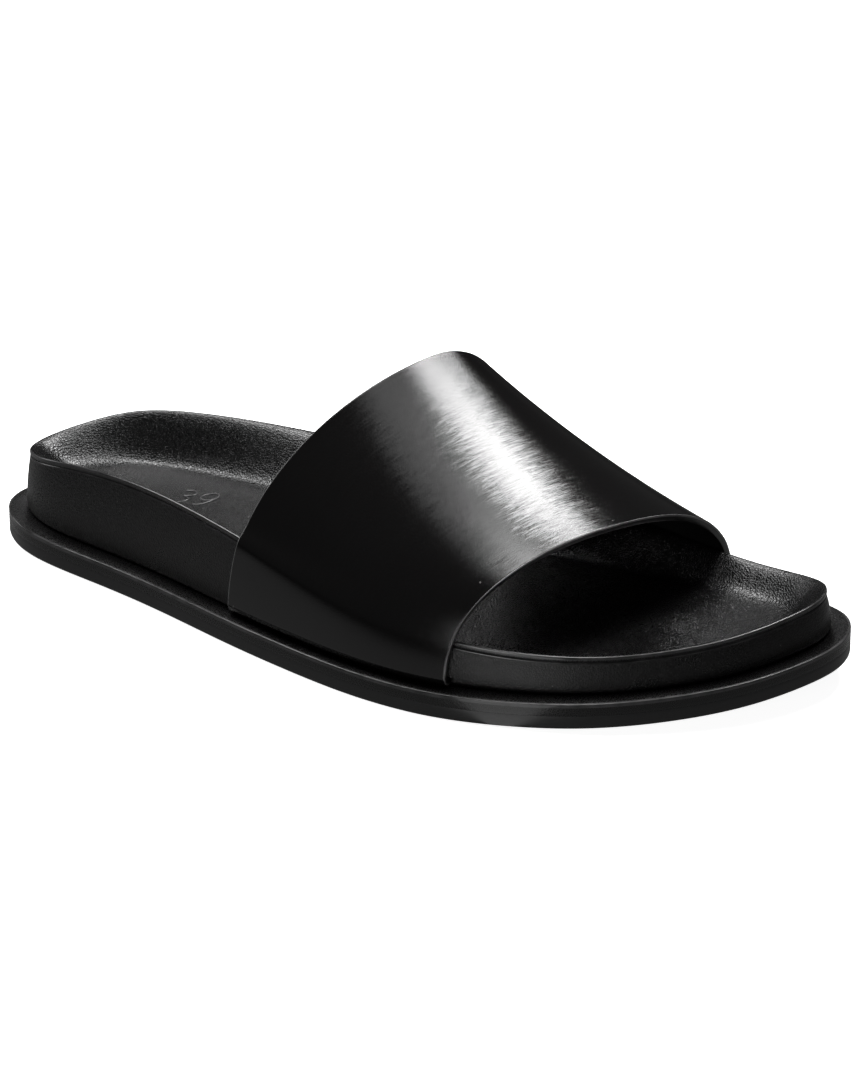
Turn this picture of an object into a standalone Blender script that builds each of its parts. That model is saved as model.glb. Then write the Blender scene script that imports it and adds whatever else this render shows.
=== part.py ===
"""Slide sandal for the right foot.

A rubber outsole carries a leather covered welt.  A moulded footbed stands on the welt, a thin cover
lies in its bowl, and one wide strap runs over the foot, with its ends lasted under the footbed.

Sizes are in millimetres and become metres when a mesh is made.  +X points to the toe, +Y to the
inner side of the foot and +Z up.  The origin is on the ground, at the middle of the sole's box.
"""
import bpy
import math
import numpy as np

MM = 0.001
LENGTH = 270.0          # outsole, heel to toe
OUTSOLE_THICK = 4.0
WELT_THICK = 3.6
GAP = 0.3               # kept between pieces that meet
EDGE_BREAK = 0.35       # worn edges of outsole and welt
TOE_SPRING = 8.0        # lift of the sole at the toe
SPRING_FROM = 0.60      # share of the length where the lift starts
LIP = 5.7               # width of the welt that shows around the footbed
WALL_DRAFT = 1.5        # lean of the footbed's wall, from its foot to its rim
FOOT_ROUND = 0.8        # round at the foot of the footbed's wall
COVER_THICK = 1.3       # leather cover of the footbed
RIM_DROP = 0.4          # round of the cover's edge
TOE_CREST = 1.3         # low bar under the toes
CREST_AT = 0.83
CREST_SPREAD = 0.035
STRAP_THICK = 2.2       # leather and lining together
STRAP_BEND = 2.8        # outer radius where the strap turns under the footbed
STRAP_MARGIN = 12.0     # what is lasted under the footbed
STRAP_EASE = 0.7        # softness of the strap's line over the rim
STRAP_CLEAR = 0.5       # kept between the strap and the footbed's curved wall

AROUND = 72             # points of each closed ring
STRAP_ROWS = 9
STRAP_POINTS = 36
BEND_WEIGHT = 20.0      # length that a radian of bend counts for when points are spread

# The sole's outline: share of the length from the heel, inner side, outer side.
OUTLINE = np.array([
    (0.00, 0.0, 0.0),
    (0.02, 14.3, -12.2),
    (0.05, 23.2, -18.7),
    (0.10, 30.2, -24.1),
    (0.18, 33.3, -29.4),
    (0.27, 33.3, -36.3),
    (0.36, 33.6, -44.3),
    (0.45, 35.8, -51.3),
    (0.54, 40.3, -56.6),
    (0.63, 43.6, -57.9),
    (0.72, 44.0, -54.3),
    (0.80, 41.8, -47.7),
    (0.88, 37.2, -35.9),
    (0.94, 32.2, -22.2),
    (0.98, 24.9, -7.0),
    (1.00, 9.8, 9.8),
], dtype=[("station", float), ("inner", float), ("outer", float)])

# The footbed, in heights above the welt: rim at both sides, bed at its middle, and how far from
# the rim the bowl's wall runs in at both sides.
FOOTBED = np.array([
    (0.00, 17.5, 17.5, 15.5, 26.0, 26.0),
    (0.05, 20.5, 20.5, 15.0, 22.0, 22.0),
    (0.10, 23.6, 23.6, 14.5, 17.0, 18.0),
    (0.18, 26.4, 26.8, 14.5, 14.0, 17.0),
    (0.27, 26.3, 28.7, 15.0, 13.0, 19.0),
    (0.36, 24.0, 29.0, 14.5, 12.0, 23.0),
    (0.45, 20.5, 27.6, 12.8, 12.0, 24.0),
    (0.54, 17.1, 24.7, 10.2, 12.0, 20.0),
    (0.63, 14.3, 20.6, 7.2, 12.0, 16.0),
    (0.72, 12.4, 16.2, 5.2, 12.0, 13.0),
    (0.80, 11.5, 13.1, 4.4, 11.0, 12.0),
    (0.88, 11.4, 11.6, 4.4, 11.0, 12.0),
    (0.94, 11.9, 11.9, 4.9, 12.0, 12.0),
    (1.00, 13.0, 13.0, 5.8, 13.0, 13.0),
], dtype=[("station", float), ("outer_rim", float), ("inner_rim", float), ("bed", float),
          ("outer_run", float), ("inner_run", float)])

# The strap's outer face: where its edges meet the sole, its crown, how far the crown is swept
# to the toe, and how square its flanks are.
STRAP = np.array([
    (-38.0, 15.0, 78.0, 15.5, 13.5, 2.10, 2.05, 2.40, 2.35),
    (0.7, 51.4, 59.8, 10.4, 0.3, 2.05, 2.33, 2.16, 2.44),
    (39.5, 87.5, 47.0, 5.4, -13.0, 2.00, 2.62, 1.90, 2.52),
], dtype=[("outer_x", float), ("inner_x", float), ("crown", float), ("sweep", float),
          ("crown_y", float), ("outer_flat", float), ("outer_tall", float),
          ("inner_flat", float), ("inner_tall", float)])

# Colour, roughness and metallic of each piece.
FINISH = {
    "outsole": ((0.020, 0.020, 0.021), 0.45, 0.0),
    "welt": ((0.016, 0.015, 0.016), 0.50, 0.0),
    "footbed": ((0.017, 0.016, 0.017), 0.48, 0.0),
    "insole": ((0.018, 0.017, 0.018), 0.45, 0.0),
    "strap": ((0.010, 0.010, 0.011), 0.25, 0.0),
}


def cubic(knots, values, flat_ends=False):
    """Smooth curve through the values, straight or flat at its two ends."""
    last = len(knots) - 1
    step = np.diff(knots)
    slope = np.diff(values) / step
    matrix = np.eye(last + 1)
    target = np.zeros(last + 1)
    for i in range(1, last):
        matrix[i, i - 1:i + 2] = step[i - 1], 2 * (step[i - 1] + step[i]), step[i]
        target[i] = 6 * (slope[i] - slope[i - 1])
    if flat_ends:
        matrix[0, :2] = 2 * step[0], step[0]
        matrix[last, last - 1:] = step[-1], 2 * step[-1]
        target[0] = 6 * slope[0]
        target[last] = -6 * slope[-1]
    bend = np.linalg.solve(matrix, target)

    def at(x):
        x = np.clip(x, knots[0], knots[-1])
        i = np.clip(np.searchsorted(knots, x) - 1, 0, last - 1)
        before = x - knots[i]
        after = knots[i + 1] - x
        curve = (bend[i] * after ** 3 + bend[i + 1] * before ** 3) / (6 * step[i])
        line = (values[i] / step[i] - bend[i] * step[i] / 6) * after
        return curve + line + (values[i + 1] / step[i] - bend[i + 1] * step[i] / 6) * before

    return at


TURN = np.arccos(1 - 2 * OUTLINE["station"])
middle_line = cubic(TURN, (OUTLINE["inner"] + OUTLINE["outer"]) / 2, flat_ends=True)
half_width = cubic(TURN, (OUTLINE["inner"] - OUTLINE["outer"]) / 2)
footbed_at = {name: cubic(FOOTBED["station"], FOOTBED[name])
              for name in FOOTBED.dtype.names[1:]}


def station(x):
    """Share of the length at x, from 0 at the heel to 1 at the toe."""
    return x / LENGTH + 0.5


def outline(turn):
    """Outline point at an angle: 0 at the heel, pi at the toe, the inner side in between."""
    turn = np.mod(turn, 2 * math.pi)
    inner = turn <= math.pi
    folded = np.where(inner, turn, 2 * math.pi - turn)
    y = middle_line(folded) + np.where(inner, 1, -1) * half_width(folded)
    return np.stack([-LENGTH / 2 * np.cos(turn), y], -1)


def inset(turn, distance):
    """Outline moved inwards along its own normal."""
    nudge = 1e-4
    along = outline(turn + nudge) - outline(turn - nudge)
    along /= np.linalg.norm(along, axis=-1, keepdims=True)
    inwards = np.stack([along[..., 1], -along[..., 0]], -1)
    return outline(turn) + distance * inwards


def spring(x):
    """Lift of the sole towards the toe."""
    past = np.clip((station(x) - SPRING_FROM) / (1 - SPRING_FROM), 0, None)
    return TOE_SPRING * past ** 2


def welt_top(x):
    return OUTSOLE_THICK + GAP + WELT_THICK + spring(x)


def ring_turns():
    return np.arange(AROUND) * 2 * math.pi / AROUND


def lift(points, height):
    """Give flat points a height above the ground."""
    return np.column_stack([points, np.broadcast_to(height, len(points))])


def side_values(turn, outer_name, inner_name):
    """Value of the footbed's table at each point of a ring, by its side of the foot."""
    at = station(outline(turn)[:, 0])
    inner_share = 0.5 + 0.5 * np.tanh(np.sin(turn) / 0.15)
    outer = footbed_at[outer_name](at)
    inner = footbed_at[inner_name](at)
    return outer + (inner - outer) * inner_share


def cover_ring(distance, share, depth):
    """Ring of the footbed's bowl, a distance in from the rim and a share of the way to the spine."""
    turn = ring_turns()
    rim = inset(turn, LIP + WALL_DRAFT)
    spine_turn = np.arccos(np.cos(turn) * 0.74)
    spine = np.stack([-LENGTH / 2 * np.cos(spine_turn), middle_line(spine_turn)], -1)
    reach = np.linalg.norm(spine - rim, axis=1)
    part = np.minimum(distance / reach, 1) + share * (1 - np.minimum(distance / reach, 1))
    points = rim + (spine - rim) * part[:, None]
    run = side_values(turn, "outer_run", "inner_run")
    fade = np.clip(1 - part * reach / run, 0, 1) ** 1.8
    at = station(points[:, 0])
    crest = TOE_CREST * np.exp(-((at - CREST_AT) / CREST_SPREAD) ** 2) * (1 - fade)
    bed = footbed_at["bed"](at) + crest
    top = side_values(turn, "outer_rim", "inner_rim")
    height = bed + (top - bed) * fade - RIM_DROP * (distance == 0)
    return lift(points, welt_top(points[:, 0]) + height - depth)


def piece(name, vertices, faces):
    """Mesh object of one piece, in its own material, smooth but for its real edges."""
    box_middle = outline(np.linspace(0, 2 * math.pi, 721))[:, 1]
    shift = np.array([0.0, (box_middle.max() + box_middle.min()) / 2, 0.0])
    mesh = bpy.data.meshes.new(name)
    mesh.from_pydata((np.asarray(vertices) - shift) * MM, [], faces)
    mesh.materials.append(material(name))
    mesh.shade_smooth()
    mesh.set_sharp_from_angle(angle=math.radians(35))
    return bpy.data.objects.new(name, mesh)


def material(name):
    colour, roughness, metallic = FINISH[name.split(".")[0]]
    skin = bpy.data.materials.new(name)
    skin.use_nodes = True
    shader = skin.node_tree.nodes["Principled BSDF"]
    shader.inputs["Base Color"].default_value = (*colour, 1.0)
    shader.inputs["Roughness"].default_value = roughness
    shader.inputs["Metallic"].default_value = metallic
    return skin


def cross_faces(first, facing_up):
    """Faces across a ring, between its two sides, from heel to toe."""
    half = AROUND // 2
    faces = []
    for i in range(half):
        face = [first + i, first + i + 1]
        if i + 1 < half:
            face.append(first + AROUND - i - 1)
        if i > 0:
            face.append(first + AROUND - i)
        faces.append(face if not facing_up else face[::-1])
    return faces


def stacked(name, rings):
    """Solid through closed rings, from its underside up and round to its top."""
    faces = cross_faces(0, facing_up=False)
    for level in range(len(rings) - 1):
        low = level * AROUND
        high = low + AROUND
        for i in range(AROUND):
            after = (i + 1) % AROUND
            faces.append([low + i, high + i, high + after, low + after])
    faces += cross_faces((len(rings) - 1) * AROUND, facing_up=True)
    vertices = np.vstack(rings)
    return piece(name, vertices, [part for face in faces for part in split(face, vertices)])


def split(face, vertices):
    """Triangles of a face, cut along its shorter diagonal as seen from above."""
    if len(face) == 3:
        return [face]
    a, b, c, d = face
    plan = vertices[:, :2]
    if np.linalg.norm(plan[a] - plan[c]) < np.linalg.norm(plan[b] - plan[d]):
        return [[a, b, c], [a, c, d]]
    return [[a, b, d], [b, c, d]]


def slab(name, base, thick):
    """Flat layer of the sole with the full outline and both edges broken."""
    rings = []
    for height, step_in in ((0, EDGE_BREAK), (EDGE_BREAK, 0), (thick - EDGE_BREAK, 0),
                            (thick, EDGE_BREAK)):
        points = inset(ring_turns(), step_in)
        rings.append(lift(points, base + height + spring(points[:, 0])))
    return stacked(name, rings)


BOWL_STEPS = ((0, 0), (1.2, 0), (3.5, 0), (7, 0), (11, 0), (16, 0), (20, 0.25), (20, 0.75))


def footbed():
    """Moulded footbed: upright wall, rim and bowl, with a rebate for the strap's lasted ends."""
    turn = ring_turns()
    rings = []
    for height, step_in in ((0, LIP + FOOT_ROUND), (FOOT_ROUND, LIP)):
        points = inset(turn, step_in)
        rings.append(lift(points, welt_top(points[:, 0]) + GAP + height))
    for distance, share in BOWL_STEPS:
        rings.append(cover_ring(distance, share, COVER_THICK + GAP))
    return stacked("footbed", rings)


def insole():
    """Thin leather cover that lies in the bowl and ends at its rim."""
    under = [cover_ring(distance, share, COVER_THICK) for distance, share in BOWL_STEPS]
    over = [cover_ring(distance, share, 0) for distance, share in BOWL_STEPS]
    return stacked("insole", under[::-1] + over)


def side_line(distance, inner):
    """The inset outline along one side of the foot, as y over x."""
    turn = np.linspace(0.15, math.pi - 0.15, 241)
    points = inset(turn if inner else 2 * math.pi - turn, distance)
    return lambda x: np.interp(x, points[:, 0], points[:, 1])


def strap_values(share):
    """Strap's sizes at a share of the way from its rear edge to its front edge."""
    weights = ((1 - share) * (1 - 2 * share), 4 * share * (1 - share), share * (2 * share - 1))
    return {name: sum(w * row for w, row in zip(weights, STRAP[name])) for name in STRAP.dtype.names}


def strap_side(size, inner, angle):
    """One flank of a strap section, from the sole to the crown, held off the footbed's wall."""
    side = 1 if inner else -1
    foot_x, flat, tall = ((size["inner_x"], size["inner_flat"], size["inner_tall"]) if inner else
                          (size["outer_x"], size["outer_flat"], size["outer_tall"]))
    stand_off = STRAP_THICK + STRAP_CLEAR
    wall_line = side_line(LIP - stand_off, inner)
    to_other = (size["inner_x"] - size["outer_x"]) * (-side)
    x = foot_x + to_other * (1 - np.cos(angle)) / 2 + size["sweep"] * np.sin(angle) ** 2
    foot_z = welt_top(foot_x) + GAP
    z = foot_z + (size["crown"] - foot_z) * np.sin(angle) ** (2 / tall)
    y = size["crown_y"] + (wall_line(foot_x) - size["crown_y"]) * np.cos(angle) ** (2 / flat)
    base = welt_top(x) + GAP
    rim = footbed_at["inner_rim" if inner else "outer_rim"](station(x))
    over = z - base - rim
    round_rim = np.sqrt(np.clip(stand_off ** 2 - np.clip(over, 0, None) ** 2, 0, None)) - stand_off
    wall = side * wall_line(x) - WALL_DRAFT * np.clip((z - base) / rim, 0, 1) + round_rim
    wall -= 5 * np.clip(over - stand_off, 0, None)
    spare = (side * y - wall) / STRAP_EASE
    return np.column_stack([x, side * (wall + STRAP_EASE * np.logaddexp(0, spare)), z])


def strap_end(size, inner):
    """End of a strap section, from under the footbed out and round its foot."""
    side = 1 if inner else -1
    x = size["inner_x"] if inner else size["outer_x"]
    face = side * side_line(LIP - STRAP_THICK - STRAP_CLEAR, inner)(x)
    ground = welt_top(x) + GAP
    points = [(x, side * (face - STRAP_BEND - reach), ground) for reach in (STRAP_MARGIN, 5, 0)]
    for step in range(1, 4):
        angle = step * math.pi / 8
        points.append((x, side * (face - STRAP_BEND * (1 - math.sin(angle))),
                       ground + STRAP_BEND * (1 - math.cos(angle))))
    return np.array(points)


def spread_points(points, count):
    """Points spread along a line, closer together where it bends."""
    leg = np.diff(points, axis=0)
    length = np.linalg.norm(leg, axis=1)
    way = leg / length[:, None]
    turned = np.arccos(np.clip(np.sum(way[1:] * way[:-1], axis=1), -1, 1))
    walked = np.r_[0, np.cumsum(length + BEND_WEIGHT * np.r_[0, turned])]
    at = np.linspace(0, walked[-1], count)
    return np.column_stack([np.interp(at, walked, points[:, k]) for k in range(3)])


def strap_section(share):
    """Outer face of the strap across the foot, from its outer end to its inner end."""
    size = strap_values(share)
    angle = np.linspace(0, math.pi / 2, 121)
    outer = strap_side(size, False, angle)
    inner = strap_side(size, True, angle)
    crown = np.vstack([outer, inner[::-1][1:]])
    high = [flank[0, 2] + STRAP_BEND for flank in (outer, inner)]
    keep = np.where(crown[:, 1] < size["crown_y"], crown[:, 2] > high[0], crown[:, 2] > high[1])
    arch = spread_points(crown[keep], STRAP_POINTS)
    return np.vstack([strap_end(size, False), arch, strap_end(size, True)[::-1]])


def strap():
    """Wide strap: one sheet of even thickness."""
    rows = [strap_section(share) for share in np.linspace(0, 1, STRAP_ROWS)]
    across = len(rows[0])
    faces = []
    for row in range(STRAP_ROWS - 1):
        for i in range(across - 1):
            a = row * across + i
            faces.append([a, a + across, a + across + 1, a + 1])
    body = piece("strap", np.vstack(rows), faces)
    wall = body.modifiers.new("leather", "SOLIDIFY")
    wall.thickness = STRAP_THICK * MM
    wall.offset = -1
    wall.use_even_offset = True
    return body


def rebate_cutter(inner):
    """Space under the footbed's edge for one lasted end of the strap."""
    size = [strap_values(share)["inner_x" if inner else "outer_x"] for share in (0, 1)]
    lines = [side_line(LIP - 8, inner), side_line(LIP + STRAP_MARGIN + STRAP_BEND, inner)]
    if inner:
        lines.reverse()
    vertices = []
    for x in np.linspace(size[0] - 2 * GAP, size[1] + 2 * GAP, 12):
        top = welt_top(x) + GAP + STRAP_THICK + GAP
        for line, z in ((lines[0], top - 5), (lines[1], top - 5), (lines[1], top), (lines[0], top)):
            vertices.append((x, float(line(x)), z))
    faces = [[0, 3, 2, 1], [len(vertices) - 4 + k for k in range(4)]]
    for row in range(len(vertices) // 4 - 1):
        for k in range(4):
            after = (k + 1) % 4
            a = row * 4
            faces.append([a + k, a + after, a + 4 + after, a + 4 + k])
    return piece("footbed.rebate_" + ("inner" if inner else "outer"), vertices, faces)


def cut(body, cutter):
    cutter.hide_render = True
    cutter.display_type = "WIRE"
    step = body.modifiers.new(cutter.name, "BOOLEAN")
    step.operation = "DIFFERENCE"
    step.solver = "EXACT"
    step.object = cutter


def collection(name):
    group = bpy.data.collections.new(name)
    bpy.context.scene.collection.children.link(group)
    return group


def build():
    for old in list(bpy.data.objects):
        bpy.data.objects.remove(old, do_unlink=True)
    sandal = collection("slide_sandal")
    cutters = collection("cutters")
    bed = footbed()
    pieces = [slab("outsole", 0, OUTSOLE_THICK),
              slab("welt", OUTSOLE_THICK + GAP, WELT_THICK),
              bed, insole(), strap()]
    for body in pieces:
        sandal.objects.link(body)
    for inner in (False, True):
        cutter = rebate_cutter(inner)
        cutters.objects.link(cutter)
        cut(bed, cutter)


build()
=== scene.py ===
import math
import bpy
import bmesh
import numpy as np
from mathutils import Matrix, Vector
from mathutils.bvhtree import BVHTree


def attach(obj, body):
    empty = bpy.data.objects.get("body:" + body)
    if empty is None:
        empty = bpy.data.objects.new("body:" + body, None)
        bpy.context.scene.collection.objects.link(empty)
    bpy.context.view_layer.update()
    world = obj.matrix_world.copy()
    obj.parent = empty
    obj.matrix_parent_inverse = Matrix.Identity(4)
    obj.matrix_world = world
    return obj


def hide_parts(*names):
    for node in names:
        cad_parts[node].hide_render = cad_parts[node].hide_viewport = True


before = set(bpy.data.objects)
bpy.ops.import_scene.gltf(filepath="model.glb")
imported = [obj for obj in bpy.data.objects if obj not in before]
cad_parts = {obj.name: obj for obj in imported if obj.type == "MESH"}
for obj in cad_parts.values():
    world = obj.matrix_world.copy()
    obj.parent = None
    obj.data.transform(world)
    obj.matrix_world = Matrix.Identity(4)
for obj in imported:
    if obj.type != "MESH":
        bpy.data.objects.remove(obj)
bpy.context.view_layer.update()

# Sizes are in millimetres until a mesh is made. +X is the toe, +Y the inner side, +Z up.
mm = 0.001

# Shape that the layers of the sole share.
soleShape = {
    "length": 270.0,
    "toeLift": 8.0,
    "liftFrom": 0.60,        # share of the length where the toe starts to lift
    "outsoleTop": 4.13,      # outsole and welt meet in the middle of the gap of the solids
    "weltTop": 7.9,
    "lip": 5.7,              # width of the welt that shows around the footbed
    "spineShare": 0.74,      # length of the line in the middle that the rings close on
    "around": 420,           # points of each ring
    "innerRings": (3, 8, 16, 26, 36, 45),    # distances in from the edge that close a flat layer
    "jointGap": 0.005,       # half of what parts outsole and welt
    "besideJoint": 0.2,      # stretch of the side that is left to the joint's round
    "sideShares": (0.25, 0.5, 0.75),
    # share of the length, inner side, outer side
    "edge": (
        (0.00, 0.0, 0.0), (0.02, 14.3, -12.2), (0.05, 23.2, -18.7), (0.10, 30.2, -24.1),
        (0.18, 33.3, -29.4), (0.27, 33.3, -36.3), (0.36, 33.6, -44.3), (0.45, 35.8, -51.3),
        (0.54, 40.3, -56.6), (0.63, 43.6, -57.9), (0.72, 44.0, -54.3), (0.80, 41.8, -47.7),
        (0.88, 37.2, -35.9), (0.94, 32.2, -22.2), (0.98, 24.9, -7.0), (1.00, 9.8, 9.8)),
}


def smoothCurve(knots, values, flatEnds=False):
    last = len(knots) - 1
    step = np.diff(knots)
    slope = np.diff(values) / step
    matrix = np.eye(last + 1)
    target = np.zeros(last + 1)
    for i in range(1, last):
        matrix[i, i - 1:i + 2] = step[i - 1], 2 * (step[i - 1] + step[i]), step[i]
        target[i] = 6 * (slope[i] - slope[i - 1])
    if flatEnds:
        matrix[0, :2] = 2 * step[0], step[0]
        matrix[last, last - 1:] = step[-1], 2 * step[-1]
        target[0] = 6 * slope[0]
        target[last] = -6 * slope[-1]
    bend = np.linalg.solve(matrix, target)

    def at(x):
        x = np.clip(x, knots[0], knots[-1])
        i = np.clip(np.searchsorted(knots, x) - 1, 0, last - 1)
        before = x - knots[i]
        after = knots[i + 1] - x
        curve = (bend[i] * after ** 3 + bend[i + 1] * before ** 3) / (6 * step[i])
        line = (values[i] / step[i] - bend[i] * step[i] / 6) * after
        return curve + line + (values[i + 1] / step[i] - bend[i + 1] * step[i] / 6) * before

    return at


edgeRows = np.array(soleShape["edge"])
edgeTurns = np.arccos(1 - 2 * edgeRows[:, 0])
soleMiddle = smoothCurve(edgeTurns, (edgeRows[:, 1] + edgeRows[:, 2]) / 2, flatEnds=True)
soleHalf = smoothCurve(edgeTurns, (edgeRows[:, 1] - edgeRows[:, 2]) / 2)


# The sole's edge at an angle: 0 at the heel, pi at the toe, the inner side in between.
def soleEdge(turn, inwards=0.0):
    def plain(turn):
        turn = np.mod(turn, 2 * math.pi)
        inner = turn <= math.pi
        folded = np.where(inner, turn, 2 * math.pi - turn)
        y = soleMiddle(folded) + np.where(inner, 1, -1) * soleHalf(folded)
        return np.stack([-soleShape["length"] / 2 * np.cos(turn), y], -1)

    nudge = 1e-4
    along = plain(turn + nudge) - plain(turn - nudge)
    along /= np.linalg.norm(along, axis=-1, keepdims=True)
    return plain(turn) + inwards * np.stack([along[..., 1], -along[..., 0]], -1)


def lengthShare(x):
    return x / soleShape["length"] + 0.5


def toeLift(x):
    past = np.clip((lengthShare(x) - soleShape["liftFrom"]) / (1 - soleShape["liftFrom"]), 0, None)
    return soleShape["toeLift"] * past ** 2


def weltTop(x):
    return soleShape["weltTop"] + toeLift(x)


# The row's frame has its origin at the middle of the sole's box.
boxEdge = soleEdge(np.linspace(0, 2 * math.pi, 721))[:, 1]
boxShift = np.array([0.0, (boxEdge.max() + boxEdge.min()) / 2, 0.0])
ringTurns = np.arange(soleShape["around"]) * 2 * math.pi / soleShape["around"]


# Ring at a height above the underside of the outsole, which lifts at the toe.
def overGround(points, up):
    return np.column_stack([points, toeLift(points[:, 0]) + up])


def overWelt(points, up):
    return np.column_stack([points, weltTop(points[:, 0]) + up])


def quarterTurn(count):
    return np.linspace(0, math.pi / 2, count)


# Soft unevenness of handmade parts, the same at each run.
def handMade(x, y, size, phase=0.0):
    a = np.sin(x / size + 1.3 * np.sin(y / size * 0.7 + phase) + phase)
    b = np.sin(y / size * 1.31 - 0.8 * np.sin(x / size * 0.53 + 2 * phase) + 1.7)
    c = np.sin((x + 0.6 * y) / size * 2.17 + phase * 1.9)
    return (a + b + 0.5 * c) / 2.5


def makeMesh(name, points, faces, materials, faceMaterial=None, sharp=40):
    mesh = bpy.data.meshes.new(name)
    mesh.from_pydata((np.asarray(points) - boxShift) * mm, [], faces)
    for made in materials:
        mesh.materials.append(made)
    if faceMaterial is not None:
        mesh.polygons.foreach_set("material_index", np.asarray(faceMaterial, dtype=np.int32))
    work = bmesh.new()
    work.from_mesh(mesh)
    bmesh.ops.recalc_face_normals(work, faces=work.faces)
    work.to_mesh(mesh)
    work.free()
    mesh.shade_smooth()
    mesh.set_sharp_from_angle(angle=math.radians(sharp))
    piece = bpy.data.objects.new(name, mesh)
    bpy.context.scene.collection.objects.link(piece)
    return piece


def onBody(piece, node):
    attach(piece, "root")
    if node:
        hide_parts(node)
    return piece


# Faces of a closed tube whose points lie in lines along it.
def tubeFaces(sides, count, first=0):
    faces = []
    for k in range(sides):
        a = first + k * count
        b = first + (k + 1) % sides * count
        faces += [(a + i, b + i, b + i + 1, a + i + 1) for i in range(count - 1)]
    faces.append([first + k * count for k in range(sides)])
    faces.append([first + k * count + count - 1 for k in range(sides)][::-1])
    return faces


# Solid through closed rings, with its two ends closed across from side to side. The faces between the given
# levels take the second material, whose paler colour is a painted highlight.
def ringSolid(name, rings, materials, sharp=40, highlightLevels=()):
    around = len(rings[0])
    half = around // 2
    faces = []
    faceMaterial = []
    for end, upward in ((0, False), (len(rings) - 1, True)):
        first = end * around
        for i in range(half):
            face = [first + i, first + i + 1]
            if i + 1 < half:
                face.append(first + around - i - 1)
            if i > 0:
                face.append(first + around - i)
            faces.append(face[::-1] if upward else face)
            faceMaterial.append(0)
    for level in range(len(rings) - 1):
        low = level * around
        high = low + around
        for i in range(around):
            after = (i + 1) % around
            faces.append([low + i, high + i, high + after, low + after])
            faceMaterial.append(1 if level in highlightLevels else 0)
    return makeMesh(name, np.vstack(rings), faces, materials, faceMaterial, sharp)


# Ring that lies a distance in from a rim and then a share of the way to the line in the middle.
def inwardRing(rimIn, distance, share):
    rim = soleEdge(ringTurns, rimIn)
    spineTurn = np.arccos(np.cos(ringTurns) * soleShape["spineShare"])
    spine = np.stack([-soleShape["length"] / 2 * np.cos(spineTurn), soleMiddle(spineTurn)], -1)
    reach = np.linalg.norm(spine - rim, axis=1)
    part = np.minimum(distance / reach, 1)
    part = part + share * (1 - part)
    return rim + (spine - rim) * part[:, None], part * reach


def newGroup(name, inputs, outputs):
    tree = bpy.data.node_groups.new(name, "ShaderNodeTree")
    for label, value in inputs:
        socket = tree.interface.new_socket(label, in_out="INPUT", socket_type="NodeSocketFloat")
        socket.default_value = value
    for label in outputs:
        tree.interface.new_socket(label, in_out="OUTPUT", socket_type="NodeSocketFloat")
    return tree, tree.nodes.new("NodeGroupInput"), tree.nodes.new("NodeGroupOutput")


def feed(tree, socket, value):
    if isinstance(value, bpy.types.NodeSocket):
        tree.links.new(value, socket)
    else:
        socket.default_value = value


# Values or links for sockets by name, where an underscore stands for a space.
def setSockets(tree, node, **values):
    for label, value in values.items():
        feed(tree, node.inputs[label.replace("_", " ")], value)


def addNode(tree, kind, settings=None, **values):
    made = tree.nodes.new(kind)
    for key, value in (settings or {}).items():
        setattr(made, key, value)
    setSockets(tree, made, **values)
    return made


def mathNode(tree, operation, *values, kind="ShaderNodeMath"):
    made = addNode(tree, kind, {"operation": operation})
    for socket, value in zip(made.inputs, values):
        feed(tree, socket, value)
    return made.outputs["Value" if kind == "ShaderNodeMath" or operation == "LENGTH" else "Vector"]


def vectorNode(tree, operation, *values):
    return mathNode(tree, operation, *values, kind="ShaderNodeVectorMath")


def rangeNode(tree, value, fromLow, fromHigh, toLow=0.0, toHigh=1.0):
    made = addNode(tree, "ShaderNodeMapRange", {"interpolation_type": "SMOOTHSTEP"}, Value=value,
                   From_Min=fromLow, From_Max=fromHigh, To_Min=toLow, To_Max=toHigh)
    return made.outputs["Result"]


def objectPlace(tree):
    return addNode(tree, "ShaderNodeTexCoord").outputs["Object"]


def scaledPlace(tree, scale, source=None):
    made = addNode(tree, "ShaderNodeVectorMath", {"operation": "SCALE"}, Scale=scale)
    feed(tree, made.inputs[0], source or objectPlace(tree))
    return made.outputs[0]


# Pebbled leather: rounded cells with creases between them, of uneven size.
def makeLeatherGrain():
    tree, given, out = newGroup("leatherGrain", (("Cells per metre", 1400.0), ("Unevenness", 0.5)),
                                ("Height", "Crease"))
    place = scaledPlace(tree, given.outputs["Cells per metre"])
    sway = addNode(tree, "ShaderNodeTexNoise", Vector=place, Scale=0.9, Detail=2.0)
    swayed = addNode(tree, "ShaderNodeMix", {"data_type": "VECTOR"}, Factor=given.outputs["Unevenness"])
    feed(tree, swayed.inputs[4], place)
    feed(tree, swayed.inputs[5], vectorNode(tree, "ADD", place, sway.outputs["Color"]))
    swayed = swayed.outputs[1]
    cells = addNode(tree, "ShaderNodeTexVoronoi", {"feature": "SMOOTH_F1"}, Vector=swayed, Scale=1.0,
                    Smoothness=0.35)
    edges = addNode(tree, "ShaderNodeTexVoronoi", {"feature": "DISTANCE_TO_EDGE"}, Vector=swayed,
                    Scale=1.0)
    crease = rangeNode(tree, edges.outputs["Distance"], 0.0, 0.16)
    dome = rangeNode(tree, cells.outputs["Distance"], 0.75, 0.0)
    height = mathNode(tree, "ADD", mathNode(tree, "MULTIPLY", crease, 0.45),
                      mathNode(tree, "MULTIPLY", dome, 0.55))
    setSockets(tree, out, Height=height, Crease=mathNode(tree, "SUBTRACT", 1.0, crease))
    return tree


# Slow changes of polish over a surface, and the fine tooth of the finish.
def makePolish():
    tree, given, out = newGroup("handPolish", (("Patch", 60.0), ("Tooth", 2500.0)),
                                ("Patches", "Fine"))
    for label, size, detail in (("Patches", "Patch", 4.0), ("Fine", "Tooth", 3.0)):
        noise = addNode(tree, "ShaderNodeTexNoise", Vector=scaledPlace(tree, given.outputs[size]),
                        Scale=1.0, Detail=detail)
        feed(tree, out.inputs[label], rangeNode(tree, noise.outputs["Fac"], 0.28, 0.72))
    return tree


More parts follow.
